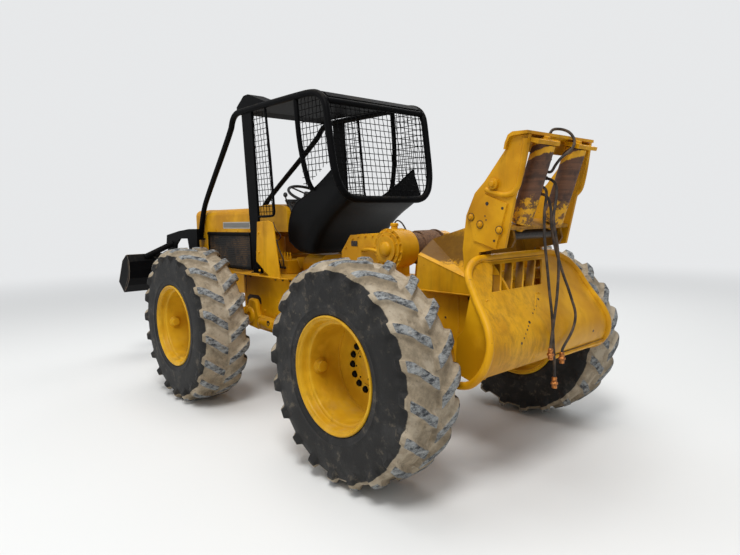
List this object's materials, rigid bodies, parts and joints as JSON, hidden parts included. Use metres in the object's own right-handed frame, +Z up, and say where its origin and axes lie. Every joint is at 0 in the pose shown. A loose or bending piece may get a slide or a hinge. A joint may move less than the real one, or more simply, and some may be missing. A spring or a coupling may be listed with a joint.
{
  "type": "articulated cable skidder",
  "caption": "Four-wheel-drive log skidder that bends in the middle, with open canopy, raised front blade, rear winch, arch with fairlead rollers and butt plate.",
  "frame": {"origin": "on the ground, on the centre plane, half way between the front of the blade and the rearmost point", "axes": "+X forward, +Y to the machine's left, +Z up"},
  "size_m": [5.5182, 2.45, 2.905],
  "materials": {
    "bare_steel": "dull, oily",
    "black_paint": "satin",
    "brass_fitting": "dull",
    "chrome_rod": "polished",
    "hose_rubber": "matt",
    "plastic_black": "matt",
    "seat_vinyl": "satin",
    "tyre": "worn black rubber with dried mud",
    "yellow_paint": "faded and scratched gloss"
  },
  "bodies": {
    "front": {"front_axle": "yellow_paint", "front_frame": "yellow_paint", "engine": "bare_steel", "hood": "yellow_paint", "side_screens": "black_paint", "grille": "black_paint", "cowl": "yellow_paint", "steering_wheel": "plastic_black", "platform": "yellow_paint", "tank": "yellow_paint", "seat": "seat_vinyl", "seat_shell": "black_paint", "canopy_frame": "black_paint", "roof": "black_paint", "screens": "black_paint", "side_mesh": "black_paint"},
    "rear": {"rear_axle": "yellow_paint", "rear_frame": "yellow_paint", "winch_case": "yellow_paint", "arch": "yellow_paint", "fairlead": "yellow_paint", "butt_plate": "yellow_paint", "hose_a": "hose_rubber", "hose_b": "hose_rubber", "hose_c": "hose_rubber", "hose_d": "hose_rubber", "fittings": "brass_fitting"},
    "wheel_front_left": {"tyre_front_left": "tyre", "rim_front_left": "yellow_paint"},
    "wheel_front_right": {"tyre_front_right": "tyre", "rim_front_right": "yellow_paint"},
    "wheel_rear_left": {"tyre_rear_left": "tyre", "rim_rear_left": "yellow_paint"},
    "wheel_rear_right": {"tyre_rear_right": "tyre", "rim_rear_right": "yellow_paint"},
    "drum": {"winch_drum": "bare_steel"},
    "roller_left": {"roller_left": "bare_steel"},
    "roller_right": {"roller_right": "bare_steel"},
    "roller_low": {"roller_low": "bare_steel"},
    "blade": {"blade": "black_paint", "blade_arms": "black_paint"},
    "lift_barrel_left": {"lift_barrel_left": "yellow_paint"},
    "lift_barrel_right": {"lift_barrel_right": "yellow_paint"},
    "lift_rod_left": {"lift_rod_left": "chrome_rod"},
    "lift_rod_right": {"lift_rod_right": "chrome_rod"},
    "steer_barrel_left": {"steer_barrel_left": "yellow_paint"},
    "steer_barrel_right": {"steer_barrel_right": "yellow_paint"},
    "steer_rod_left": {"steer_rod_left": "chrome_rod"},
    "steer_rod_right": {"steer_rod_right": "chrome_rod"}
  },
  "joints": [
    {"name": "steering", "type": "hinge", "parent": "front", "child": "rear", "pos_m": [-0.61591, 0, 0.735], "axis": [0, 0, 1], "range_deg": [-40, 40]},
    {"name": "wheel_front_left_spin", "type": "hinge", "parent": "front", "child": "wheel_front_left", "pos_m": [0.60909, 1, 0.735], "axis": [0, 1, 0], "continuous": true},
    {"name": "wheel_front_right_spin", "type": "hinge", "parent": "front", "child": "wheel_front_right", "pos_m": [0.60909, -1, 0.735], "axis": [0, 1, 0], "continuous": true},
    {"name": "wheel_rear_left_spin", "type": "hinge", "parent": "rear", "child": "wheel_rear_left", "pos_m": [-1.84091, 1, 0.735], "axis": [0, 1, 0], "continuous": true},
    {"name": "wheel_rear_right_spin", "type": "hinge", "parent": "rear", "child": "wheel_rear_right", "pos_m": [-1.84091, -1, 0.735], "axis": [0, 1, 0], "continuous": true},
    {"name": "drum_spin", "type": "hinge", "parent": "rear", "child": "drum", "pos_m": [-1.44091, 0, 1.475], "axis": [0, 1, 0], "continuous": true},
    {"name": "roller_left_spin", "type": "hinge", "parent": "rear", "child": "roller_left", "pos_m": [-2.61291, 0.188, 1.905], "axis": [-0.319, 0, 0.9478], "continuous": true},
    {"name": "roller_right_spin", "type": "hinge", "parent": "rear", "child": "roller_right", "pos_m": [-2.61291, -0.188, 1.905], "axis": [-0.319, 0, 0.9478], "continuous": true},
    {"name": "roller_low_spin", "type": "hinge", "parent": "rear", "child": "roller_low", "pos_m": [-2.49591, 0, 1.59], "axis": [0, 1, 0], "continuous": true},
    {"name": "blade_lift", "type": "hinge", "parent": "front", "child": "blade", "pos_m": [1.60909, 0, 0.95], "axis": [0, 1, 0], "range_deg": [-3, 55]},
    {"name": "lift_barrel_left_swing", "type": "hinge", "parent": "front", "child": "lift_barrel_left", "pos_m": [1.10909, 0.415, 1.06], "axis": [0, 1, 0], "range_deg": [-1.48, 27.05]},
    {"name": "lift_rod_left_slide", "type": "slide", "parent": "lift_barrel_left", "child": "lift_rod_left", "axis": [0.8682, 0, 0.4961], "range_m": [-0.0144, 0.26408]},
    {"name": "steer_barrel_left_swing", "type": "hinge", "parent": "front", "child": "steer_barrel_left", "pos_m": [0.00909, 0.4, 0.8], "axis": [0, 0, 1], "range_deg": [-3.04, 3.04]},
    {"name": "steer_rod_left_slide", "type": "slide", "parent": "steer_barrel_left", "child": "steer_rod_left", "axis": [-0.9724, -0.2334, 0], "range_m": [-0.1661, 0.1661]},
    {"name": "lift_barrel_right_swing", "type": "hinge", "parent": "front", "child": "lift_barrel_right", "pos_m": [1.10909, -0.415, 1.06], "axis": [0, 1, 0], "range_deg": [-1.48, 27.05]},
    {"name": "lift_rod_right_slide", "type": "slide", "parent": "lift_barrel_right", "child": "lift_rod_right", "axis": [0.8682, 0, 0.4961], "range_m": [-0.0144, 0.26408]},
    {"name": "steer_barrel_right_swing", "type": "hinge", "parent": "front", "child": "steer_barrel_right", "pos_m": [0.00909, -0.4, 0.8], "axis": [0, 0, 1], "range_deg": [-3.04, 3.04]},
    {"name": "steer_rod_right_slide", "type": "slide", "parent": "steer_barrel_right", "child": "steer_rod_right", "axis": [-0.9724, 0.2334, 0], "range_m": [-0.1661, 0.1661]}
  ],
  "couplings": [
    {"joint": "lift_barrel_left_swing", "follows": "blade_lift", "ratio": 0.48219},
    {"joint": "lift_rod_left_slide", "follows": "blade_lift", "m_per_rad": 0.26971},
    {"joint": "steer_barrel_left_swing", "follows": "steering", "ratio": 0.074632},
    {"joint": "steer_rod_left_slide", "follows": "steering", "m_per_rad": 0.23325},
    {"joint": "lift_barrel_right_swing", "follows": "blade_lift", "ratio": 0.48219},
    {"joint": "lift_rod_right_slide", "follows": "blade_lift", "m_per_rad": 0.26971},
    {"joint": "steer_barrel_right_swing", "follows": "steering", "ratio": 0.074632},
    {"joint": "steer_rod_right_slide", "follows": "steering", "m_per_rad": -0.23325}
  ]
}
